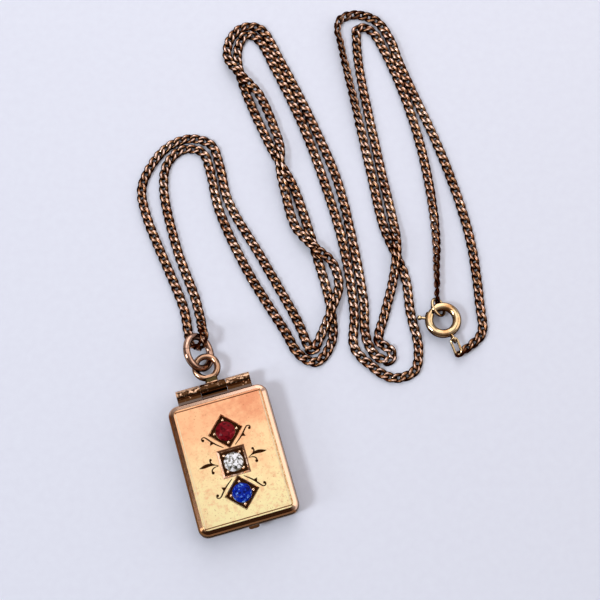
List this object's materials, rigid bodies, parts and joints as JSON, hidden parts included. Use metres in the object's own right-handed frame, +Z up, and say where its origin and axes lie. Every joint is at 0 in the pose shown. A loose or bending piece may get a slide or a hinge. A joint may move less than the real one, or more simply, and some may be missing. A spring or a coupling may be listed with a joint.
{
  "type": "locket necklace",
  "caption": "Rectangular hinged locket with coloured round stones in square engraved settings, on a long flat curb chain laid in folds, closed by a spring ring clasp.",
  "frame": {"origin": "middle of the necklace's outer box, on the surface that it lies on", "axes": "+Z up from the surface, +Y away from the viewer towards the folds' far ends, +X to the clasp's side"},
  "size_m": [0.0678, 0.1065, 0.0062],
  "materials": {
    "locket_back": "worn gold with dull olive-brown edges",
    "locket_cover": "worn rose gold, scratched, with rosy blotches",
    "hinge_pin": "dull",
    "white_stone": "polished, faceted",
    "red_stone": "polished, faceted",
    "blue_stone": "polished, faceted",
    "jump_ring": "worn rose gold",
    "clasp": "worn yellow gold",
    "chain": "dark bronze, bright on the worn high spots"
  },
  "bodies": {
    "necklace": {"locket_back": "locket_back", "hinge_pin": "hinge_pin", "jump_ring": "jump_ring", "spring_ring": "clasp", "clasp_link": "clasp", "end_ring": "clasp", "chain_left": "chain", "chain_right": "chain"},
    "cover": {"locket_cover": "locket_cover", "white_stone": "white_stone", "red_stone": "red_stone", "blue_stone": "blue_stone"},
    "bolt": {"clasp_bolt": "clasp"}
  },
  "joints": [
    {"name": "cover_hinge", "type": "hinge", "parent": "necklace", "child": "cover", "pos_m": [-0.01824, -0.02515, 0.00263], "axis": [-0.9613, -0.2756, 0], "range_deg": [0, 110]},
    {"name": "bolt_slide", "type": "hinge", "parent": "necklace", "child": "bolt", "pos_m": [0.0253, -0.0119, 0.00156], "axis": [0, 0, 1], "range_deg": [0, 30], "stiffness_Nm_per_rad": 0.003}
  ]
}
